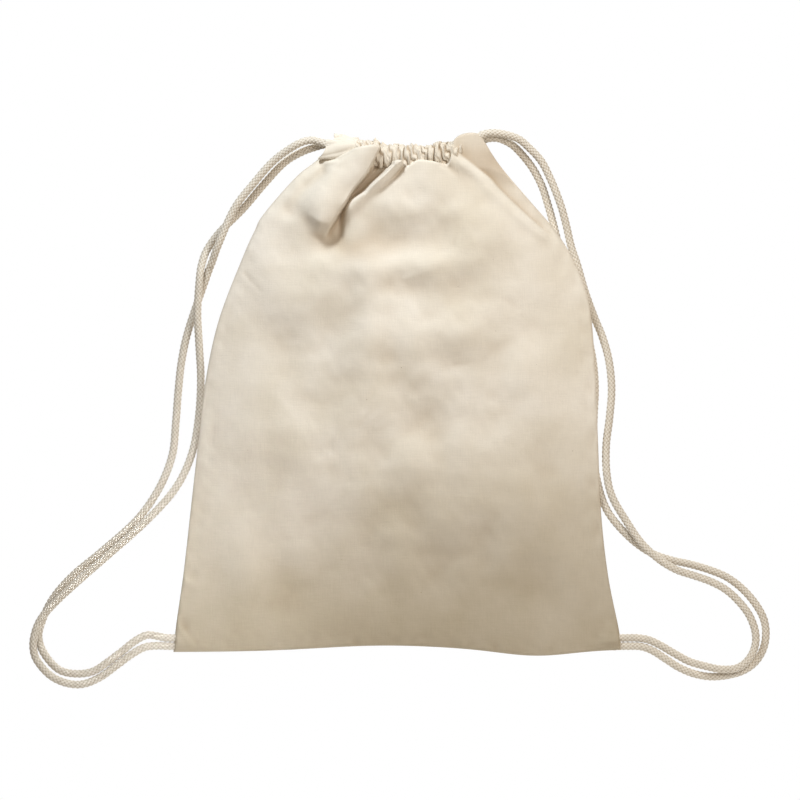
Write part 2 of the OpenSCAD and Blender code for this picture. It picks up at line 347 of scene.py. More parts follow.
def corner_swell(X, Z):
    """The cloth wraps the cord ends in each bottom corner."""
    near = np.exp(-((abs(X) - BAG_HALF + 3) / 13) ** 2 - ((Z - 9.0) / 8.5) ** 2)
    return 4.6 * near * smooth((abs(X) - 150) / 20)


def from_seam(H, X, Z, roll, dist, seed):
    """Closes a panel's height to its seam line, with small puckers along the seam."""
    pucker = waves(X, Z, seed, (16,), (0.35,)) * np.exp(-(dist / 14) ** 2)
    return roll + np.maximum(H + pucker * smooth(dist / 3), 0) * smooth(dist / 2.5 + 0.15)


# -------------------- front panel

# Lines of the folds at the mouth: (z, x) of an edge that runs up, or (x, z) of a ridge
PLEAT_EDGE = [(330, -72), (343, -66), (354, -61), (365, -54.5), (381.6, -44), (393, -37),
              (409, -24.3), (429, -14)]
ROLL_LEFT = [(350, -46), (379, -42), (391, -27), (398, -20), (408, -8), (420, 2)]
SHOULDER_EDGE = [(330, 156), (343, 143), (353, 130), (371, 109), (392, 87), (402, 78), (410, 68),
                 (417, 59), (424, 51), (436, 46)]
ROLL_LINE = [(2, 417), (-8, 408.5), (-18, 399), (-28, 390), (-40, 378)]

# Broad soft swells (+) and hollows (-) of the filled cloth
SWELLS = [(-24, 285, 16, 42, 2.2), (-80, 262, 34, 26, -2.4), (30, 196, 34, 30, -2.6),
          (84, 222, 26, 40, -2.2), (58, 268, 30, 16, 1.8), (-130, 48, 18, 44, 4.4),
          (-92, 44, 26, 40, -3.0), (-50, 118, 36, 34, -1.8), (104, 52, 46, 26, -2.0),
          (20, 40, 60, 20, -1.6), (-120, 190, 30, 40, 1.8), (112, 130, 34, 36, 1.6),
          (20, 328, 46, 12, 2.0), (-112, 318, 20, 26, 1.6)]
MOUTH_HOLLOWS = [(-60, 346, 14, 11, -4.0), (-20, 350, 42, 20, -7.0), (28, 352, 30, 14, -2.2),
                 (-46, 362, 5, 14, -2.0)]
MOUTH_FOLDS = [
    ([(-63, 408), (-76, 395), (-91, 376)], (-3.6, -3.0), (4.5, 8)),      # left of the wide pleat
    ([(8, 415), (-3, 403), (-14, 393)], (-5.0, -0.8), (1.8, 3.5)),       # right of the rolled pleat
    ([(41, 418), (50, 415), (60, 408)], (2.6, 0.4), (3.4, 5.0)),         # beside the cuff
    ([(37, 414), (45, 411), (58, 404)], (-1.6, -0.2), (2.0, 4.0)),
]
EDGE_FOLDS = [
    ([(-67, 420), (-60, 415.5), (-52, 416)], (1.3, 1.0), (1.5, 1.5)),    # the lip below the left tunnel
    ([(-67, 416), (-60, 411.5), (-50, 411.8)], (-0.4, -0.4), (1.8, 1.8)),
    ([(-187.5, 25), (-182, 15), (-175, 6)], (1.5, 0.9), (1.6, 1.4)),     # bottom left corner
    ([(-184, 27), (-178, 17), (-171, 8)], (-1.3, -0.6), (2.2, 2.0)),
    ([(-180, 5), (-168, 4), (-150, 4)], (0.8, 0.2), (1.2, 1.2)),
    ([(-181, 60), (-172, 55)], (1.6, 0.3), (3.0, 3.0)),                  # left seam
    ([(-130, 322), (-116, 306)], (-0.7, -0.3), (1.2, 1.5)),
]
# short creases that fan out from the bottom right corner
EDGE_FOLDS += [([(189, 9 + rise * 0.35), (189 - reach, 3 + rise * 0.9)], (1.2, 0.1), (1.3, 2.4))
               for rise, reach in ((4, 30), (12, 20), (20, 17), (27, 14))]


def past_pleat(X, Z):
    """How far a point lies beyond the wide pleat's right edge."""
    return (X - graph(PLEAT_EDGE, Z)) * 0.87


def past_shoulder(X, Z):
    """How far a point lies beyond the shoulder's ridge."""
    return (X - graph(SHOULDER_EDGE, Z)) * 0.70


def wide_pleat(X, Z):
    """The wide pleat at the left of the mouth: it swells towards its end, and turns under there."""
    a = past_pleat(X, Z)
    end = (X + 68.6) * 0.496 + (Z - 354) * 0.868 + 3 - 0.012 * (a + 12) ** 2
    strength = np.clip(end / 14, 0, 1) ** 1.6
    tall = 5.5 + 4.5 * (1 - smooth((Z - 360) / 50))
    wide = 19 + 21 * smooth((Z - 357) / 28)
    rounded = smooth((a + wide) / (0.65 * wide)) - 0.30 * np.clip((a + 14) / 14, 0, 1) ** 2
    return strength * tall * rounded * (1 - smooth((a + 0.6) / 2.4))


def valley(X, Z):
    """The shadowed valley between the wide pleat and the rolled one. It ends softly."""
    soft = 16 * (1 - smooth((Z - 338) / 22))
    left = smooth((past_pleat(X, Z) + 0.2) / (1.8 + soft))
    right = 1 - smooth((X - graph(ROLL_LEFT, Z) + 5) / (6 + 0.5 * soft))
    return -10.0 * smooth((Z - 336) / 50) * left * right


def rolled_pleat(X, Z):
    """The narrow rolled pleat: puckered where the casing gathers it, wider where it ends."""
    dist, along = line_dist(X, Z, ROLL_LINE)
    roll = (5.2 - 1.0 * along) * np.exp(-(dist / (4.2 + 2.4 * along)) ** 2)
    pucker = np.exp(-(dist / 4.5) ** 2) * np.clip(1 - along * 5, 0, 1) * np.sin(along * 95)
    return roll + 0.9 * pucker


def with_shoulder(H, X, Z, U):
    """The right shoulder: a crisp ridge, and the cloth beyond it, which runs up into a smooth cuff."""
    r = past_shoulder(X, Z)
    grown = smooth((Z - 336) / 26)
    recess = grown * smooth((r + 0.4) / 2.2)
    from_edge = (1 - U) * (X[:, -1:] - X[:, :1])
    floor = 1.6 + 0.17 * np.clip(from_edge, 0, 26) + 6.5 * smooth((Z - 396) / 30)
    floor = floor - 6.0 * smooth((Z - 408) / 10) * (1 - smooth((X - 42) / 12)) ** 1.5
    H = H + grown * 2.0 * np.exp(-((r + 5) / 5) ** 2) * (1 - recess)
    return H + (np.minimum(H, floor) - H) * recess


def front_depth(X, Z, U, T):
    """How far the front panel stands out from the seam plane."""
    roll, dist = seam_roll(X, Z, U)
    across = (4 * U * (1 - U)) ** (0.92 - 0.32 * smooth((T - 0.66) / 0.26))
    up = np.where(T < 0.5, np.sin(np.clip(T / 0.5, 0, 1) * math.pi / 2) ** 0.80,
                  1 - 0.14 * smooth((T - 0.5) / 0.5))
    calm = np.clip(across * np.minimum(T * 6, 1), 0, 1)
    loose = (2.8 * hills(X, Z, SWELLS) + waves(X, Z, 11, (110, 55, 28, 14), (2.2, 1.5, 0.36, 0.09))
             + crumple(X, Z, 41))
    H = 19.5 * across * up + calm * loose
    H = H + wide_pleat(X, Z) + valley(X, Z) + rolled_pleat(X, Z)
    H = H + folds(X, Z, MOUTH_FOLDS) + hills(X, Z, MOUTH_HOLLOWS)
    H = with_shoulder(H, X, Z, U) + folds(X, Z, EDGE_FOLDS) + corner_swell(X, Z)
    return from_seam(H, X, Z, roll, dist, 23)


def front_shade(X, Z):
    """Where folds keep the front's cloth in warm shade: the cuff and the strip below it, the wide
    pleat's right side, and below the valley."""
    cuff = (0.20 * smooth((Z - 350) / 30) + 0.36 * smooth((Z - 392) / 20)
            - 0.30 * smooth((Z - 420) / 16))
    a = past_pleat(X, Z)
    pleat = 0.20 * smooth((Z - 345) / 20) * smooth((a + 13) / 13) * (1 - smooth((a - 1) / 4))
    below = [(-35, 342, 21, 11, 0.42), (-20, 362, 10, 14, 0.28)]
    return smooth((past_shoulder(X, Z) + 0.5) / 3) * cuff + pleat + hills(X, Z, below)


# -------------------- back panel

def back_pleats(U, T):
    """Pleats that fan down from the gathered casing, each with its own length."""
    rng = np.random.RandomState(5)
    total = np.zeros(U.shape)
    centre = 0.05
    while centre < 0.97:
        reach, depth = rng.uniform(0.10, 0.42), rng.uniform(1.6, 3.6)
        width = rng.uniform(0.012, 0.022)
        lean = rng.uniform(-0.03, 0.03)
        fade = smooth((T - (1 - reach)) / reach) ** 1.3
        total = total + depth * fade * np.exp(-((U - centre - lean * (1 - T)) / width) ** 2)
        centre += rng.uniform(0.045, 0.085)
    return total


def back_depth(X, Z, U, T):
    """How far the back panel stands out from the seam plane."""
    roll, dist = seam_roll(X, Z, U)
    across = (4 * U * (1 - U)) ** 0.85
    up = np.where(T < 0.60, np.sin(np.clip(T / 0.60, 0, 1) * math.pi / 2) ** 0.72,
                  1 - 0.55 * smooth((T - 0.60) / 0.40))
    calm = np.clip(across * np.minimum(T * 6, 1), 0, 1)
    loose = waves(X, Z, 31, (120, 62, 30, 15), (1.9, 1.2, 0.32, 0.09)) + crumple(X, Z, 43)
    H = 19.0 * across * up + calm * (loose + back_pleats(U, T)) + corner_swell(X, Z)
    return from_seam(H, X, Z, roll, dist, 29)


def no_shade(X, Z):
    return 0.0


# -------------------- both panels

LIP_ROWS, LIP_TURN = 7, 24  # rows of the rolled lip, and the degrees between two


def with_lip(layer, radius, face, U):
    """Adds the top of a panel, which rolls over towards the casing."""
    top = layer[-1]
    r = np.minimum(radius, np.abs(top[:, 1]) * 0.4) * smooth(np.minimum(U[-1], 1 - U[-1]) / 0.08)
    rows = []
    for k in range(1, LIP_ROWS + 1):
        angle = math.radians(LIP_TURN * k)
        rows.append(top + np.stack([0 * r, -face * r * (1 - math.cos(angle)), r * math.sin(angle)], -1))
    return np.concatenate([layer, np.array(rows)])


def panel(face, top_points, depth, shade, material, lip):
    """One sewn panel as a closed skin, in a left and a right half."""
    X, Z, U, T = panel_grid(top_points)
    H = depth(X, Z, U, T)
    outer = with_lip(np.stack([X, face * H, Z], -1), lip, face, U)
    inner = with_lip(np.stack([X, face * np.maximum(H - CLOTH, 0.04), Z], -1), lip - CLOTH, face, U)
    # how far the cloth lies below its surroundings, near and farther: painted shade for the cloth's colour,
    # with the front's fold shade added
    hollow = sum(weight * np.clip((blurred(H, reach) - H) / deep, 0, 1)
                 for reach, deep, weight in ((3, 1.2, 0.22), (9, 4.0, 0.30)))
    hollow = np.minimum(hollow + shade(X, Z), 1)
    painted_shade = np.concatenate([hollow, np.repeat(hollow[-1:], LIP_ROWS, axis=0)])
    rows, cols = outer.shape[:2]
    inward = face == BACK
    normals = vertex_normals(outer.reshape(-1, 3), grid_faces(rows, cols, flip=inward))
    normals = normals.reshape(rows, cols, 3)
    for side, part in halves(X[-1]):
        c = outer[:, part].shape[1]
        count = rows * c
        border = np.concatenate([np.arange(c), np.arange(2, rows + 1) * c - 1,
                                 (rows - 1) * c + np.arange(c - 2, -1, -1),
                                 np.arange(rows - 2, -1, -1) * c])
        rim = strip_faces(border, border + count)
        faces = np.concatenate([grid_faces(rows, c, flip=inward),
                                grid_faces(rows, c, offset=count, flip=not inward),
                                rim if inward else rim[:, ::-1]])
        cloth_half(FACE_NAME[face] + "_panel", side, outer[:, part], inner[:, part], normals[:, part],
                   faces, painted_shade[:, part], material)


# -------------------- gathered casings

CASING_COLS, CASING_AROUND = 520, 64
GATHER_PITCH = (3.8, 8.4)
INNER_SKIN = 0.75

# Each curve holds (x, value): the tunnel's centre height and half height, its centre depth and half
# depth. "gathers" is the stretch that is gathered, "tuck" where the tunnel slips behind the smooth
# cuff, and "behind" how deep it lies there.
FRONT_CASING = {
    "from": -64, "to": 69, "seed": 3, "gathers": (-38, 62), "slant": 0.7, "tuck": 49, "behind": -4.8,
    "centre": [(-66, 426.6), (-50, 426.4), (-36, 427), (-22, 424), (-8, 420.5), (20, 420.5),
               (40, 423), (52, 427), (62, 430), (77, 430)],
    "half": [(-66, 8.2), (-50, 7.8), (-36, 7.8), (-22, 8.2), (0, 8.8), (25, 8.8), (40, 9.0),
             (52, 9.0), (62, 8.0), (77, 6)],
    "depth": [(-66, -6.5), (-50, -9), (-20, -9), (20, -9), (50, -8), (62, -6), (77, -4.5)],
    "half_depth": [(-66, 4.6), (-50, 5.0), (-20, 6.0), (20, 6.0), (50, 5.4), (62, 4.4), (77, 4.0)],
}
BACK_CASING = {
    "from": -57, "to": 74, "seed": 8, "gathers": (-40, 50), "slant": -0.6, "tuck": 90, "behind": 4.8,
    "centre": [(-58, 432.4), (-45, 430.8), (-25, 426), (0, 422), (25, 421.5), (45, 425), (60, 428),
               (75, 428)],
    "half": [(-58, 7.9), (-45, 8.3), (-20, 8.6), (25, 8.6), (45, 9), (75, 9.5)],
    "depth": [(-58, 6.5), (-30, 8), (20, 9), (50, 8.5), (75, 5.5)],
    "half_depth": [(-58, 4.4), (-40, 5.2), (-20, 6.0), (30, 6.0), (50, 5.4), (75, 4.6)],
}


def gather_rows(seed, start, end):
    """Where the creases between gathers fall, at uneven distances; and each gather's size and lean."""
    rng = np.random.RandomState(seed)
    at, out = start, [start]
    while at < end:
        at += rng.uniform(*GATHER_PITCH)
        out.append(at)
    return np.array(out), rng.uniform(0.65, 1.35, len(out)), rng.uniform(-0.5, 0.5, len(out))


def casing_skins(shape, x):
    """The outer and the inner skin of a ruffled tunnel of cloth, and the shade painted at each point: some
    over the whole gathered stretch, most in the folds between gathers.
    """
    start, end = shape["gathers"]
    XX, PH = np.meshgrid(x, np.linspace(0, 2 * math.pi, CASING_AROUND, endpoint=False), indexing="ij")
    zc, hz, yc, hy = (graph(shape[key], x)[:, None] for key in ("centre", "half", "depth", "half_depth"))
    creases, size, lean = gather_rows(shape["seed"], start, end)
    warp = XX + 1.1 * np.sin(PH * 2 + XX * 0.21) + shape["slant"] * np.sin(PH) * 3.0
    warp = warp + 0.8 * np.sin(XX * 0.9 + 3 * PH)
    k = np.clip(np.searchsorted(creases, warp) - 1, 0, len(creases) - 2)
    f = np.clip((warp - creases[k]) / (creases[k + 1] - creases[k]), 0, 1)
    dome = (1 - np.abs(2 * f - 1) ** 2.0) ** 0.48
    env = smooth((XX - start) / 7) * (1 - smooth((XX - end + 5) / 7))
    swell = env * size[k] * (3.6 * dome - 1.6)
    fine = env * dome * (0.35 * np.sin(warp * 3.1 + 2.0 * np.sin(PH)) + 0.45 * np.sin(4 * math.pi * f + k))
    # flutes that run along the flat left end
    flute = np.abs(np.sin(2.5 * PH + 0.07 * (XX + 60))) - 0.5
    fine = fine + (1 - env) * smooth((-20 - XX) / 20) * 1.1 * flute
    flop = env * size[k] * lean[k] * 2.2 * dome + 0.9 * env * np.sin(XX * 0.33 + shape["seed"])
    # the left end is cut at a slant and flares
    loose = smooth((shape["from"] + 22 - XX) / 22)
    XX = XX + loose * (3.2 * np.sin(PH) + 1.4 * np.cos(2 * PH) + 1.0)
    swell = swell + loose * 0.8 * np.cos(3 * PH + 0.6)
    # the right end slips behind the smooth cuff
    tuck = smooth((XX + 14 * np.clip(np.sin(PH) - 0.2, 0, 1) - shape["tuck"]) / 9)
    yc, hy, hz = yc + (shape["behind"] - yc) * tuck, hy + (3.6 - hy) * tuck, hz + (7.0 - hz) * tuck
    # painted shade: a little over the whole gathered stretch, most in the folds between gathers, and more
    # for bigger gathers
    painted_shade = env * (0.14 + 0.86 * (1 - smooth(dome / 0.92)) * (0.5 + 0.5 * size[k] / 1.35))
    skins = []
    for inset in (0.0, INNER_SKIN):
        ry = hy + swell + fine - inset
        rz = hz + (swell + fine) * 0.8 - inset
        skins.append(np.stack([XX + 0.5 * env * np.sin(2 * PH + k), yc + ry * np.cos(PH),
                               zc + rz * np.sin(PH) + flop * np.abs(np.sin(PH))], -1))
    return *skins, painted_shade


def casing(face, shape, material):
    """A gathered tunnel, open at both ends, in a left and a right half."""
    around = CASING_AROUND
    x = np.linspace(shape["from"], shape["to"], CASING_COLS)
    outer, inner, painted_shade = casing_skins(shape, x)
    normals = vertex_normals(outer.reshape(-1, 3), grid_faces(CASING_COLS, around, wrap=True, flip=True))
    normals = normals.reshape(outer.shape)
    ring = np.concatenate([np.arange(around), [0]])
    for side, part in halves(x):
        c = outer[part].shape[0]
        count = c * around
        end = ring + (c - 1) * around
        faces = np.concatenate([grid_faces(c, around, wrap=True, flip=True),
                                grid_faces(c, around, offset=count, wrap=True),
                                strip_faces(ring, ring + count)[:, ::-1], strip_faces(end, end + count)])
        cloth_half(FACE_NAME[face] + "_casing", side, outer[part], inner[part], normals[part], faces,
                   painted_shade[part], material)


# -------------------- braided cord

# The middle line (x, y, z) of each strand, from inside the casing round the loop to the bottom corner
LEFT_OUTER = [(-53, -8.4, 428.4), (-58, -7.6, 430), (-65, -5.6, 433), (-74, -3.4, 434.8), (-86, -2, 431),
              (-105, 5, 418), (-123, 8, 398), (-139, 9, 377), (-152, 9, 348), (-158, 13, 332),
              (-163, 17, 319), (-178, 17, 275), (-184, 16, 248), (-187, 15, 221), (-189, 13, 194),
              (-192, 11, 167), (-203, 8, 139), (-222, 6, 112), (-252, 5, 85), (-276, 5, 65),
              (-294, 4, 44), (-304, 3, 21), (-304.5, 3, 8), (-298, 2, -5), (-287, 1, -15.5),
              (-273, 1, -18.5), (-259, 0, -16.5), (-247, 0, -9), (-235, 0, 0), (-223, 0, 9.5),
              (-213, 0, 14.3), (-204, 0, 13.5), (-196, 0, 12), (-180, 0, 12)]
LEFT_INNER = [(-53, 6.8, 432.8), (-58, 6.5, 432.4), (-68, 4.8, 430), (-82, 6, 425), (-97, 12, 416),
              (-114, 15, 398), (-132, 17, 377), (-151, 17, 358), (-162, 17, 343), (-166.5, 13, 331),
              (-168.5, 9, 318), (-170.3, 9, 289), (-169, 9, 262), (-167.5, 9, 231), (-169.6, 8, 197),
              (-175.5, 6, 167), (-189, 4, 139), (-213, 2, 112), (-243, -1, 85), (-266, -3, 65),
              (-289, -4, 44), (-303, -3, 28), (-309, -3, 12), (-308.5, -2, -2), (-302, -2, -13),
              (-292, -1, -22), (-279, 0, -27), (-266, 0, -27), (-252, 0, -21), (-239, 0, -11.5),
              (-226, 0, -2), (-215, 0, 4), (-204, 0, 5.3), (-195, 0, 5), (-180, 0, 5)]
RIGHT_OUTER = [(62, -3.7, 433), (72, -3.7, 439.5), (84, -3.7, 441), (101, 0, 437), (111, 3, 429.5),
               (122, 6, 418), (129, 8, 405), (135, 9, 391), (140, 10, 377), (144, 12, 362),
               (148, 13, 345), (153, 13, 330), (160, 13, 306), (168, 12, 284), (174.5, 11, 268),
               (180, 10, 248), (182.3, 9, 224), (180.6, 8, 200), (177.6, 7, 175), (178, 3, 151),
               (182.5, 1, 132), (194, 0, 112), (207, -3, 93), (222, -4, 79), (237, -4, 70),
               (252, -3, 65), (266, -2, 60), (279, -2, 53), (290, -2, 43), (299, -2, 31),
               (304, -2, 17), (303.5, -2, 4), (297.5, -3, -7), (288, -3, -13.5), (275, -3, -14.5),
               (262, -2, -12), (248, 0, -8), (235, 0, -1), (223, 0, 6), (213, 0, 10.5), (203, 0, 12),
               (194, 0, 12), (180, 0, 12)]
RIGHT_INNER = [(62, 3.7, 428), (72, 3.7, 435), (84, 3.7, 437), (96, 8, 432.5), (105, 11, 424.5),
               (115, 14, 412), (123, 17, 397), (128, 19, 382), (132, 20, 368), (138, 20, 345),
               (146, 19, 321), (155, 18, 295), (162, 16, 270), (166.5, 14, 248), (168.3, 12, 225),
               (167.3, 10, 200), (166.5, 8, 170), (170.5, 7, 143), (177.5, 6, 122), (188.5, 5, 106.5),
               (203, 5, 92.5), (217, 5, 83.5), (233, 5, 78), (249, 4, 74.5), (266, 3, 69.5),
               (281, 3, 63), (295, 3, 52), (306, 2, 38.5), (312, 3, 26), (313.2, 3, 13), (310.5, 4, 1),
               (303.5, 4, -9.5), (293, 4, -16.5), (280, 3, -20), (266, 2, -21), (252, 1, -18.5),
               (239, 0, -13), (228, 0, -6), (217, 0, 1), (207, 0, 4.6), (196, 0, 5), (180, 0, 5)]

CORD_R = 3.35
CORD_STEP, CORD_AROUND = 0.5, 56
PLAITS = 6
PLAIT_PITCH = 22.8
YARN_HALF = 0.56       # half width of a yarn, as a share of the distance between two
ENDS_PER_YARN = 3
HIDDEN_GIRTH = 0.8     # the cords are squeezed inside the casings


def braid_tube(path, girth):
    """A round plaited cord: two sets of yarns wind opposite ways and pass over and under."""
    p = np.array(path, float)
    length = np.linalg.norm(np.diff(spline(p, 600), axis=0), axis=1).sum()
    count = int(length / CORD_STEP)
    c = spline(p, count)
    tangent = np.gradient(c, axis=0)
    tangent /= np.linalg.norm(tangent, axis=1)[:, None]
    side = np.cross(tangent, [0, 1, 0])
    side /= np.linalg.norm(side, axis=1)[:, None]
    up = np.cross(side, tangent)
    s = np.linspace(0, length, count)[:, None]
    phi = np.linspace(0, 2 * math.pi, CORD_AROUND, endpoint=False)[None, :]
    u = PLAITS * (phi / (2 * math.pi) + s / PLAIT_PITCH)
    v = PLAITS * (phi / (2 * math.pi) - s / PLAIT_PITCH)
    yarn_u, yarn_v = np.round(u), np.round(v)
    weave = np.cos(math.pi * (u - yarn_u)) * np.cos(math.pi * (v - yarn_v))
    over = np.where((yarn_u + yarn_v) % 2 == 0, 1.0, -1.0)
    bulge_u, bulge_v = (np.sqrt(np.clip(1 - ((w - yarn) / YARN_HALF) ** 2, 0, 1))
                        for w, yarn in ((u, yarn_u), (v, yarn_v)))
    height = np.maximum(0.62 * bulge_u + 0.30 * over * weave, 0.62 * bulge_v - 0.30 * over * weave)
    # each yarn is a bundle of finer ends
    ends_u, ends_v = (np.cos((w - yarn) * 2 * math.pi * ENDS_PER_YARN)
                      for w, yarn in ((u, yarn_u), (v, yarn_v)))
    height = height + 0.05 * np.where(over * weave > 0, ends_u, ends_v)
    r = (CORD_R - 0.80 + height * 0.95) * girth
    round_it = np.cos(phi)[..., None] * side[:, None] + np.sin(phi)[..., None] * up[:, None]
    return c[:, None] + r[..., None] * round_it, height


def cord(name, path, material, girth=1.0):
    verts, height = braid_tube(path, girth)
    rows, around = verts.shape[:2]
    ends = np.array([verts[0].mean(0), verts[-1].mean(0)])
    faces = grid_faces(rows, around, wrap=True).tolist()
    first, last = rows * around, rows * around + 1
    for k in range(around):
        n = (k + 1) % around
        faces.append([first, n, k])
        faces.append([last, (rows - 1) * around + k, (rows - 1) * around + n])
    obj = add_mesh(name, np.vstack([verts.reshape(-1, 3), ends]), faces, material)
    # the braid's relief, which the material turns into painted shade in its grooves
    vertex_value(obj, "relief", np.concatenate([height.ravel(), [0.5, 0.5]]))
    return obj


def shoulder_cords(material):
    for side, sign, paths in (("left", -1, (LEFT_OUTER, LEFT_INNER)),
                              ("right", 1, (RIGHT_OUTER, RIGHT_INNER))):
        swing = joint(side + "_strap_swing")
        foot, axis = np.array(swing["pos_m"]), np.array(swing["axis"])
        out = np.array([axis[2], 0, -axis[0]]) / np.hypot(axis[0], axis[2])
        out = out * np.sign(out[0]) * sign
        for label, path in zip(("outer", "inner"), paths):
            obj = cord(f"{side}_shoulder_cord_{label}", path, material)
            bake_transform(obj)
            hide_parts(side + "_shoulder_cord", side + "_cord_tails")


def run_in_casing(face, shape, xs, lift):
    """A cord's middle line inside a casing. It moves inward where the casing slips behind the cuff."""
    return [(x, float(graph(shape["depth"], x)) - face * 3.4 * float(smooth((x - 42) / 12)),
             float(graph(shape["centre"], x)) + lift) for x in xs]


def hidden_cords(material):
    """The cords inside the casings, each in a left and a right half. Each turns back at the far end of the
    mouth, and the left one lies above the right one."""
    for side, lift in (("left", 2.72), ("right", -2.72)):
        for half, x_end, sign in (("left", -48.0, -1), ("right", 60.0, 1)):
            xs = np.linspace(SPLIT_X, x_end, 6)
            front = run_in_casing(FRONT, FRONT_CASING, xs, lift)
            back = run_in_casing(BACK, BACK_CASING, xs, lift)
            if side == half:
                runs = [front, back]
            else:
                turn = (x_end + sign * 7, 0.0, (front[-1][2] + back[-1][2]) / 2)
                runs = [front + [turn] + back[::-1]]
            for k, run in enumerate(runs):
                obj = cord(f"{side}_cord_run_{half}_{k}", run, material, HIDDEN_GIRTH)
                mouth_blend(obj, half)
                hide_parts(side + "_cord_run")


# -------------------- seams and sewing

SEAM_PITCH, CASING_PITCH = 7.0, 4.0         # between two stitches of a row
SEAM_STITCH, CASING_STITCH = 4.6, 2.6       # length of a stitch
THREAD_R, BARTACK_R = 0.3, 0.34
STITCH_LINE = 4.2                           # distance of a seam's stitches from its edge
STITCH_RINGS = ((-0.5, 0.35), (-0.36, 0.9), (0, 1), (0.36, 0.9), (0.5, 0.35))  # place, relative size
STITCH_SIDES = 6


def allowance(name, edge_points, inward, material):
    """The folded seam allowance between two panels, set in from the seam line."""
    profile = [(1.3, -0.5), (1.3, 0.5), (4.2, 0.72), (7.2, 0.5), (7.2, -0.5), (4.2, -0.72)]
    rings = np.array([[(x + inward[0] * d, y, z + inward[1] * d) for d, y in profile]
                      for x, z in edge_points])
    rows, n = rings.shape[:2]
    faces = grid_faces(rows, n, wrap=True).tolist()
    faces.append(list(range(n))[::-1])
    faces.append([(rows - 1) * n + k for k in range(n)])
    obj = add_mesh(name, rings.reshape(-1, 3), faces, material)
    return obj


def stitches(name, places, length, radius, material):
    """Short loops of thread, each a rounded bar from its place along its direction."""
    verts, faces = [], []
    rings, sides = len(STITCH_RINGS), STITCH_SIDES
    turn = np.linspace(0, 2 * math.pi, sides, endpoint=False)
    for place, along in places:
        along = np.array(along, float) / np.linalg.norm(along)
        side = np.cross(along, [0.3, 0.9, 0.31])
        side /= np.linalg.norm(side)
        up = np.cross(side, along)
        first = len(verts)
        for share, size in STITCH_RINGS:
            middle = np.array(place) + along * share * length
            for a in turn:
                verts.append(middle + radius * size * (math.cos(a) * side + math.sin(a) * up))
        faces += grid_faces(rings, sides, offset=first, wrap=True).tolist()
        faces.append([first + k for k in range(sides)][::-1])
        faces.append([first + (rings - 1) * sides + k for k in range(sides)])
    obj = add_mesh(name, verts, faces, material)
    return obj


def sew_sides(seam_material, thread_material):
    """The allowances and stitches of the side seams, and the bartacks at their ends."""
    for side, sign, edge in (("left", -1, LEFT_EDGE), ("right", 1, RIGHT_EDGE)):
        hinge_z = joint(side + "_mouth_open")["pos_m"][2] / MM
        slit_z = edge[-1][1] - 22
        for part, low, high in (("lower", 22, hinge_z - 2), ("upper", hinge_z + 2, slit_z)):
            z = np.linspace(low, high, 40)
            obj = allowance(f"{side}_{part}_side_allowance", zip(edge_x(edge, z), z), (-sign, 0),
                            seam_material)
            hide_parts(f"{side}_{part}_side_seam")
            if part == "upper":
                mouth_blend(obj, side)
            else:
                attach(obj, "bag")
        z = np.arange(hinge_z + 6, slit_z - 4, SEAM_PITCH)
        places = [((x - sign * STITCH_LINE, y, k), (0.3 * sign, 0, 1))
                  for x, k in zip(edge_x(edge, z), z) for y in (-0.8, 0.8)]
        obj = stitches(side + "_side_thread", places, SEAM_STITCH, THREAD_R, thread_material)
        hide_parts(side + "_side_stitching")
        mouth_blend(obj, side)
        x = float(edge_x(edge, slit_z - 3))
        places = [((x - sign * (2.5 + 0.75 * k), 0, slit_z - 3 + 0.55 * k), (0, 1, 0.15))
                  for k in range(7)]
        obj = stitches(side + "_slit_thread", places, 2.6, BARTACK_R, thread_material)
        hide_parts(side + "_slit_bartack")
        mouth_blend(obj, side)
        places = [((sign * (BAG_HALF - 7 + 0.7 * k), 0, z), (0, 1, 0.2))
                  for k in range(4) for z in (1.8, 15.6)]
        obj = stitches(side + "_corner_thread", places, 3.0, BARTACK_R, thread_material)
        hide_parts(side + "_corner_bartack")
        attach(obj, "bag")


def sew_bottom(seam_material, thread_material):
    x = np.linspace(-BAG_HALF + 16, BAG_HALF - 16, 90)
    obj = allowance("bottom_allowance", zip(x, bottom_z(x)), (0, 1), seam_material)
    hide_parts("bottom_seam")
    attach(obj, "bag")
    places = [((x, y, float(bottom_z(x)) + STITCH_LINE), (1, 0, 0.1))
              for x in np.arange(-BAG_HALF + 22, BAG_HALF - 22, SEAM_PITCH) for y in (-0.8, 0.8)]
    obj = stitches("bottom_thread", places, SEAM_STITCH, THREAD_R, thread_material)
    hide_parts("bottom_seam_stitching")
    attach(obj, "bag")


def sew_casings(thread_material):
    """The row that closes each casing, low on its outer side."""
    for face, shape in ((FRONT, FRONT_CASING), (BACK, BACK_CASING)):
        name = FACE_NAME[face] + "_casing"
        for side, low, high in (("left", shape["from"] + 10, SPLIT_X - 2), ("right", SPLIT_X + 2, 50)):
            x = np.arange(low, high, CASING_PITCH)
            y = graph(shape["depth"], x) + face * 0.42 * graph(shape["half_depth"], x)
            z = graph(shape["centre"], x) - 0.93 * graph(shape["half"], x)
            places = [(place, (1, 0, 0.1)) for place in zip(x, y, z)]
            obj = stitches(f"{name}_thread_{side}", places, CASING_STITCH, THREAD_R, thread_material)
            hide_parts(name + "_stitching")
            mouth_blend(obj, side)


# -------------------- materials

WEAVE_PITCH = 0.00055   # metres between two yarns of the cloth
WHITE = (1, 1, 1, 1)
# tint of the painted shade in hollows, in the front's folds and in the folds between gathers
PAINTED_SHADE_TINT = (0.54, 0.42, 0.29, 1)
# painted shade: the cloth's colour darkens towards the bottom of the bag, where less light reaches it
BOTTOM_SHADE_TINT = (0.59, 0.55, 0.475, 1)
FLECK_COLOUR = (0.22, 0.14, 0.07, 1)


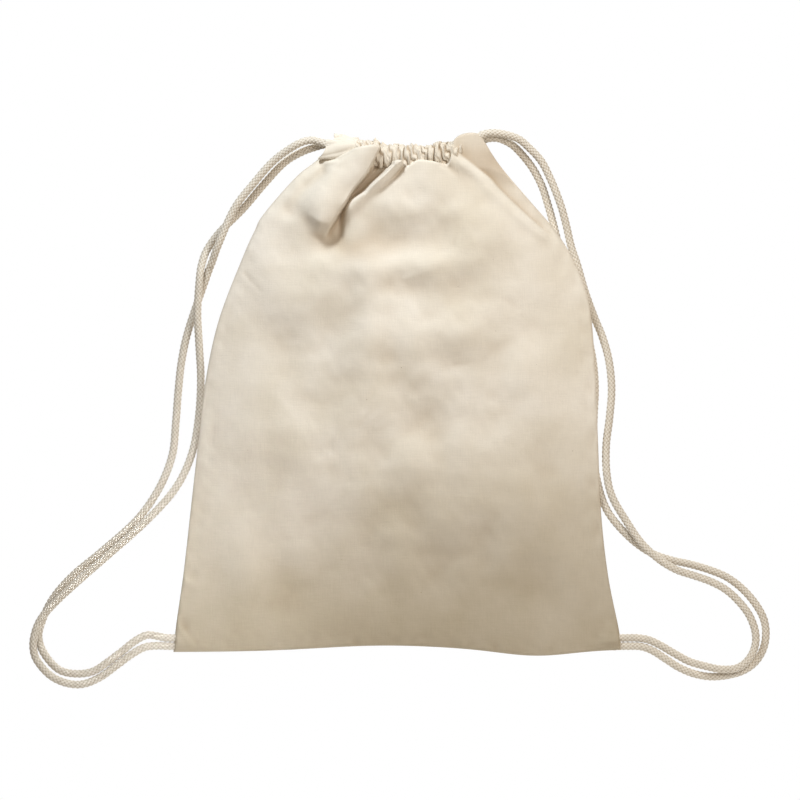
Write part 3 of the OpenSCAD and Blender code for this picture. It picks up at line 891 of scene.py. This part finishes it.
def feed(tree, socket, value):
    """Links an output to a socket, or sets the socket to a plain value."""
    if isinstance(value, bpy.types.NodeSocket):
        tree.links.new(value, socket)
    else:
        socket.default_value = value


def node(tree, kind, **values):
    """A shader node. Each value is a setting of the node, or feeds its input of that name."""
    n = tree.nodes.new(kind)
    for key, value in values.items():
        if hasattr(n, key):
            setattr(n, key, value)
        else:
            feed(tree, n.inputs[key.replace("_", " ")], value)
    return n


def calc(tree, operation, *values, kind="ShaderNodeMath"):
    n = node(tree, kind, operation=operation)
    for socket, value in zip(n.inputs, values):
        feed(tree, socket, value)
    return n.outputs[0]


def scaled(tree, colour, factor):
    return node(tree, "ShaderNodeVectorMath", operation="SCALE", Vector=colour, Scale=factor).outputs[0]


def mixed(tree, factor, a, b):
    return node(tree, "ShaderNodeMix", data_type="RGBA", Factor=factor, A=a, B=b).outputs["Result"]


def mapped(tree, value, source, target=(0.0, 1.0), kind="LINEAR"):
    """Carries the source range over to the target range."""
    return node(tree, "ShaderNodeMapRange", interpolation_type=kind, Value=value, From_Min=source[0],
                From_Max=source[1], To_Min=target[0], To_Max=target[1]).outputs["Result"]


def ramp(tree, factor, dark, light):
    """A colour from dark to light over the middle of the factor's range."""
    n = node(tree, "ShaderNodeValToRGB", Fac=factor)
    for element, place, colour in zip(n.color_ramp.elements, (0.30, 0.72), (dark, light)):
        element.position = place
        element.color = (*colour, 1)
    return n.outputs["Color"]


def plain_material(name):
    m = bpy.data.materials.new(name)
    m.use_nodes = True
    t = m.node_tree
    return m, t, t.nodes["Principled BSDF"]


def matt(tree, bsdf, colour, normal, roughness):
    """Finishes a matt fabric surface."""
    feed(tree, bsdf.inputs["Base Color"], colour)
    feed(tree, bsdf.inputs["Normal"], normal)
    bsdf.inputs["Roughness"].default_value = roughness
    bsdf.inputs["Specular IOR Level"].default_value = 0.15


def with_flecks(tree, pos, colour):
    """Small dark bits of seed husk, in some of the cells of a pattern."""
    cells = node(tree, "ShaderNodeTexVoronoi", Vector=pos, Scale=62.0)
    near = calc(tree, "LESS_THAN", cells.outputs["Distance"], 0.024)
    chance = node(tree, "ShaderNodeSeparateColor", Color=cells.outputs["Color"])
    rare = calc(tree, "LESS_THAN", chance.outputs[0], 0.45)
    spot = calc(tree, "MULTIPLY", near, rare)
    return mixed(tree, calc(tree, "MULTIPLY", spot, 0.55), colour, FLECK_COLOUR)


def cotton(name, light, dark, fleck=True):
    """Unbleached cotton in plain weave. Its colour holds painted shade: darker and warmer where its
    vertices carry a shade value, and darker towards the bottom of the bag.
    """
    m, t, bsdf = plain_material(name)
    pos = node(t, "ShaderNodeTexCoord").outputs["Object"]
    place = node(t, "ShaderNodeSeparateXYZ", Vector=pos)
    # uneven natural colour, in broad soft patches
    patches = node(t, "ShaderNodeTexNoise", Vector=pos, Scale=12.0, Detail=3.0, Roughness=0.55)
    colour = ramp(t, patches.outputs["Fac"], dark, light)
    # thick and thin yarns, stretched both ways
    yarns = []
    for stretch in ((90, 300, 2200), (2200, 300, 90)):
        along = node(t, "ShaderNodeMapping", Vector=pos, Scale=stretch).outputs["Vector"]
        noise = node(t, "ShaderNodeTexNoise", Vector=along, Scale=1.0, Detail=2.0)
        yarns.append(noise.outputs["Fac"])
    slubs = calc(t, "ADD", *yarns)
    colour = scaled(t, colour, mapped(t, slubs, (0.7, 1.3), (0.955, 1.035)))
    # painted shade: darker and warmer in the hollows, folds and gathers, and darker towards the bottom of
    # the bag
    painted_shade = node(t, "ShaderNodeAttribute", attribute_name="painted_shade").outputs["Fac"]
    height = mapped(t, place.outputs["Z"], (0.0, 0.24), kind="SMOOTHSTEP")
    for tint in (mixed(t, painted_shade, WHITE, PAINTED_SHADE_TINT), mixed(t, height, BOTTOM_SHADE_TINT, WHITE)):
        colour = calc(t, "MULTIPLY", colour, tint, kind="ShaderNodeVectorMath")
    if fleck:
        colour = with_flecks(t, pos, colour)
    # plain weave: one yarn over, one under
    over_under = [calc(t, "SINE", calc(t, "MULTIPLY", place.outputs[axis], math.pi / WEAVE_PITCH))
                  for axis in ("X", "Z")]
    weave = calc(t, "MULTIPLY_ADD", calc(t, "MULTIPLY", *over_under), 0.35, slubs)
    fine = node(t, "ShaderNodeBump", Height=weave, Strength=0.30, Distance=0.0003)
    wrinkles = node(t, "ShaderNodeTexNoise", Vector=pos, Scale=60.0, Detail=4.0, Roughness=0.6)
    soft = node(t, "ShaderNodeBump", Height=wrinkles.outputs["Fac"], Normal=fine.outputs["Normal"],
                Strength=0.30, Distance=0.0012)
    matt(t, bsdf, colour, soft.outputs["Normal"], 0.92)
    return m


def yarn(name, light, dark, braided=False):
    """Cotton yarn. Braided, it is darker where its vertices have a low relief value: painted shade in the
    grooves between the plaited yarns.
    """
    m, t, bsdf = plain_material(name)
    pos = node(t, "ShaderNodeTexCoord").outputs["Object"]
    noise = node(t, "ShaderNodeTexNoise", Vector=pos, Scale=420.0, Detail=3.0, Roughness=0.6)
    relief = node(t, "ShaderNodeAttribute", attribute_name="relief")
    # braided: painted shade, dark in the grooves and light on the yarns' crowns; plain: random tone
    colour = ramp(t, (relief if braided else noise).outputs["Fac"], dark, light)
    colour = scaled(t, colour, mapped(t, noise.outputs["Fac"], (0.3, 0.7), (0.90, 1.05)))
    fibres = node(t, "ShaderNodeTexNoise", Vector=pos, Scale=1500.0, Detail=2.0)
    fuzz = node(t, "ShaderNodeBump", Height=fibres.outputs["Fac"], Strength=0.35, Distance=0.0003)
    matt(t, bsdf, colour, fuzz.outputs["Normal"], 0.9)
    bsdf.inputs["Sheen Weight"].default_value = 0.2
    return m


def floor_material():
    """Pale, and clear towards the rim of the disk."""
    m, t, bsdf = plain_material("floor")
    bsdf.inputs["Base Color"].default_value = (0.93, 0.93, 0.92, 1)
    bsdf.inputs["Roughness"].default_value = 0.9
    pos = node(t, "ShaderNodeTexCoord").outputs["Object"]
    length = node(t, "ShaderNodeVectorMath", operation="LENGTH", Vector=pos).outputs["Value"]
    fade = mapped(t, length, (0.40, 1.0), kind="SMOOTHSTEP")
    mix = node(t, "ShaderNodeMixShader", Fac=fade)
    t.links.new(bsdf.outputs[0], mix.inputs[1])
    t.links.new(node(t, "ShaderNodeBsdfTransparent").outputs[0], mix.inputs[2])
    t.links.new(mix.outputs[0], t.nodes["Material Output"].inputs["Surface"])
    return m


# -------------------- the bag

cloth = cotton("cotton_cloth", (0.83, 0.78, 0.705), (0.70, 0.635, 0.525))
seam_cloth = cotton("seam_cloth", (0.76, 0.69, 0.57), (0.70, 0.62, 0.49), fleck=False)
cord_cotton = yarn("cotton_cord", (0.76, 0.71, 0.63), (0.37, 0.30, 0.20), braided=True)
thread = yarn("cotton_thread", (0.80, 0.73, 0.60), (0.70, 0.62, 0.49))

for name, obj in frame["nodes"].items():
    look = seam_cloth if "seam" in name and "stitch" not in name else thread
    obj.data.materials.clear()
    obj.data.materials.append(look)

panel(FRONT, FRONT_TOP, front_depth, front_shade, cloth, 2.6)
panel(BACK, BACK_TOP, back_depth, no_shade, cloth, 2.0)
casing(FRONT, FRONT_CASING, cloth)
casing(BACK, BACK_CASING, cloth)
sew_sides(seam_cloth, thread)
sew_bottom(seam_cloth, thread)
sew_casings(thread)
shoulder_cords(cord_cotton)
hidden_cords(cord_cotton)


# -------------------- stage, light and camera

FLOOR_RADIUS, FLOOR_SIDES = 1.05, 64
FLOOR_DROP = 0.17           # the bag hangs this far above the floor
CAMERA_DISTANCE = 5.0
VIEW_WIDTH = 0.680          # what the camera sees at the bag
SENSOR_MM = 36
COOL, WARM = (0.88, 0.95, 1.0), (1, 0.95, 0.88)


def floor():
    """A pale disk that fades out into the white surroundings."""
    turn = np.linspace(0, 2 * math.pi, FLOOR_SIDES, endpoint=False)
    rings = [np.stack([r * np.cos(turn), r * np.sin(turn), 0 * turn + cad_low.z - FLOOR_DROP], -1)
             for r in (0.3 * FLOOR_RADIUS, FLOOR_RADIUS)]
    faces = grid_faces(2, FLOOR_SIDES, wrap=True, flip=True).tolist() + [list(range(FLOOR_SIDES))]
    add_mesh("floor", np.concatenate(rings) / MM, faces, floor_material())


def world():
    """White behind the bag, and a dim warm light from all sides."""
    w = bpy.data.worlds.new("studio")
    bpy.context.scene.world = w
    w.use_nodes = True
    t = w.node_tree
    seen = node(t, "ShaderNodeLightPath").outputs["Is Camera Ray"]
    feed(t, t.nodes["Background"].inputs["Color"], mixed(t, seen, (0.185, 0.142, 0.100, 1), WHITE))


def area_light(name, place, target, size, power, colour=(1, 1, 1), spread=180):
    data = bpy.data.lights.new(name, "AREA")
    data.shape = "DISK"
    data.size = size
    data.energy = power
    data.color = colour
    data.spread = math.radians(spread)
    lamp = bpy.data.objects.new(name, data)
    lamp.location = place
    lamp.rotation_euler = (Vector(target) - Vector(place)).to_track_quat("-Z", "Y").to_euler()
    bpy.context.scene.collection.objects.link(lamp)


def camera():
    """Straight in front of the bag, at the middle of its picture."""
    data = bpy.data.cameras.new("camera")
    data.sensor_width = SENSOR_MM
    data.lens = SENSOR_MM * CAMERA_DISTANCE / VIEW_WIDTH
    data.clip_end = 20
    cam = bpy.data.objects.new("camera", data)
    cam.location = (0.0021, -CAMERA_DISTANCE, 0.2142)
    cam.rotation_euler = (math.radians(90), 0, 0)
    bpy.context.scene.collection.objects.link(cam)
    bpy.context.scene.camera = cam


floor()
world()
area_light("key", (-0.28, -0.47, 1.16), (0, 0, 0.34), 0.22, 8.8, COOL)
area_light("fill", (0.62, -0.88, 0.62), (0, 0, 0.26), 0.6, 6.7, WARM)
area_light("low", (-0.24, -0.80, -0.08), (-0.165, 0, 0.06), 0.2, 0.07, (0.88, 0.93, 1.0), 22)
area_light("rear", (0.6, 1.1, 0.9), (0, 0, 0.25), 0.8, 19)
camera()
bpy.context.scene.view_settings.view_transform = "Standard"
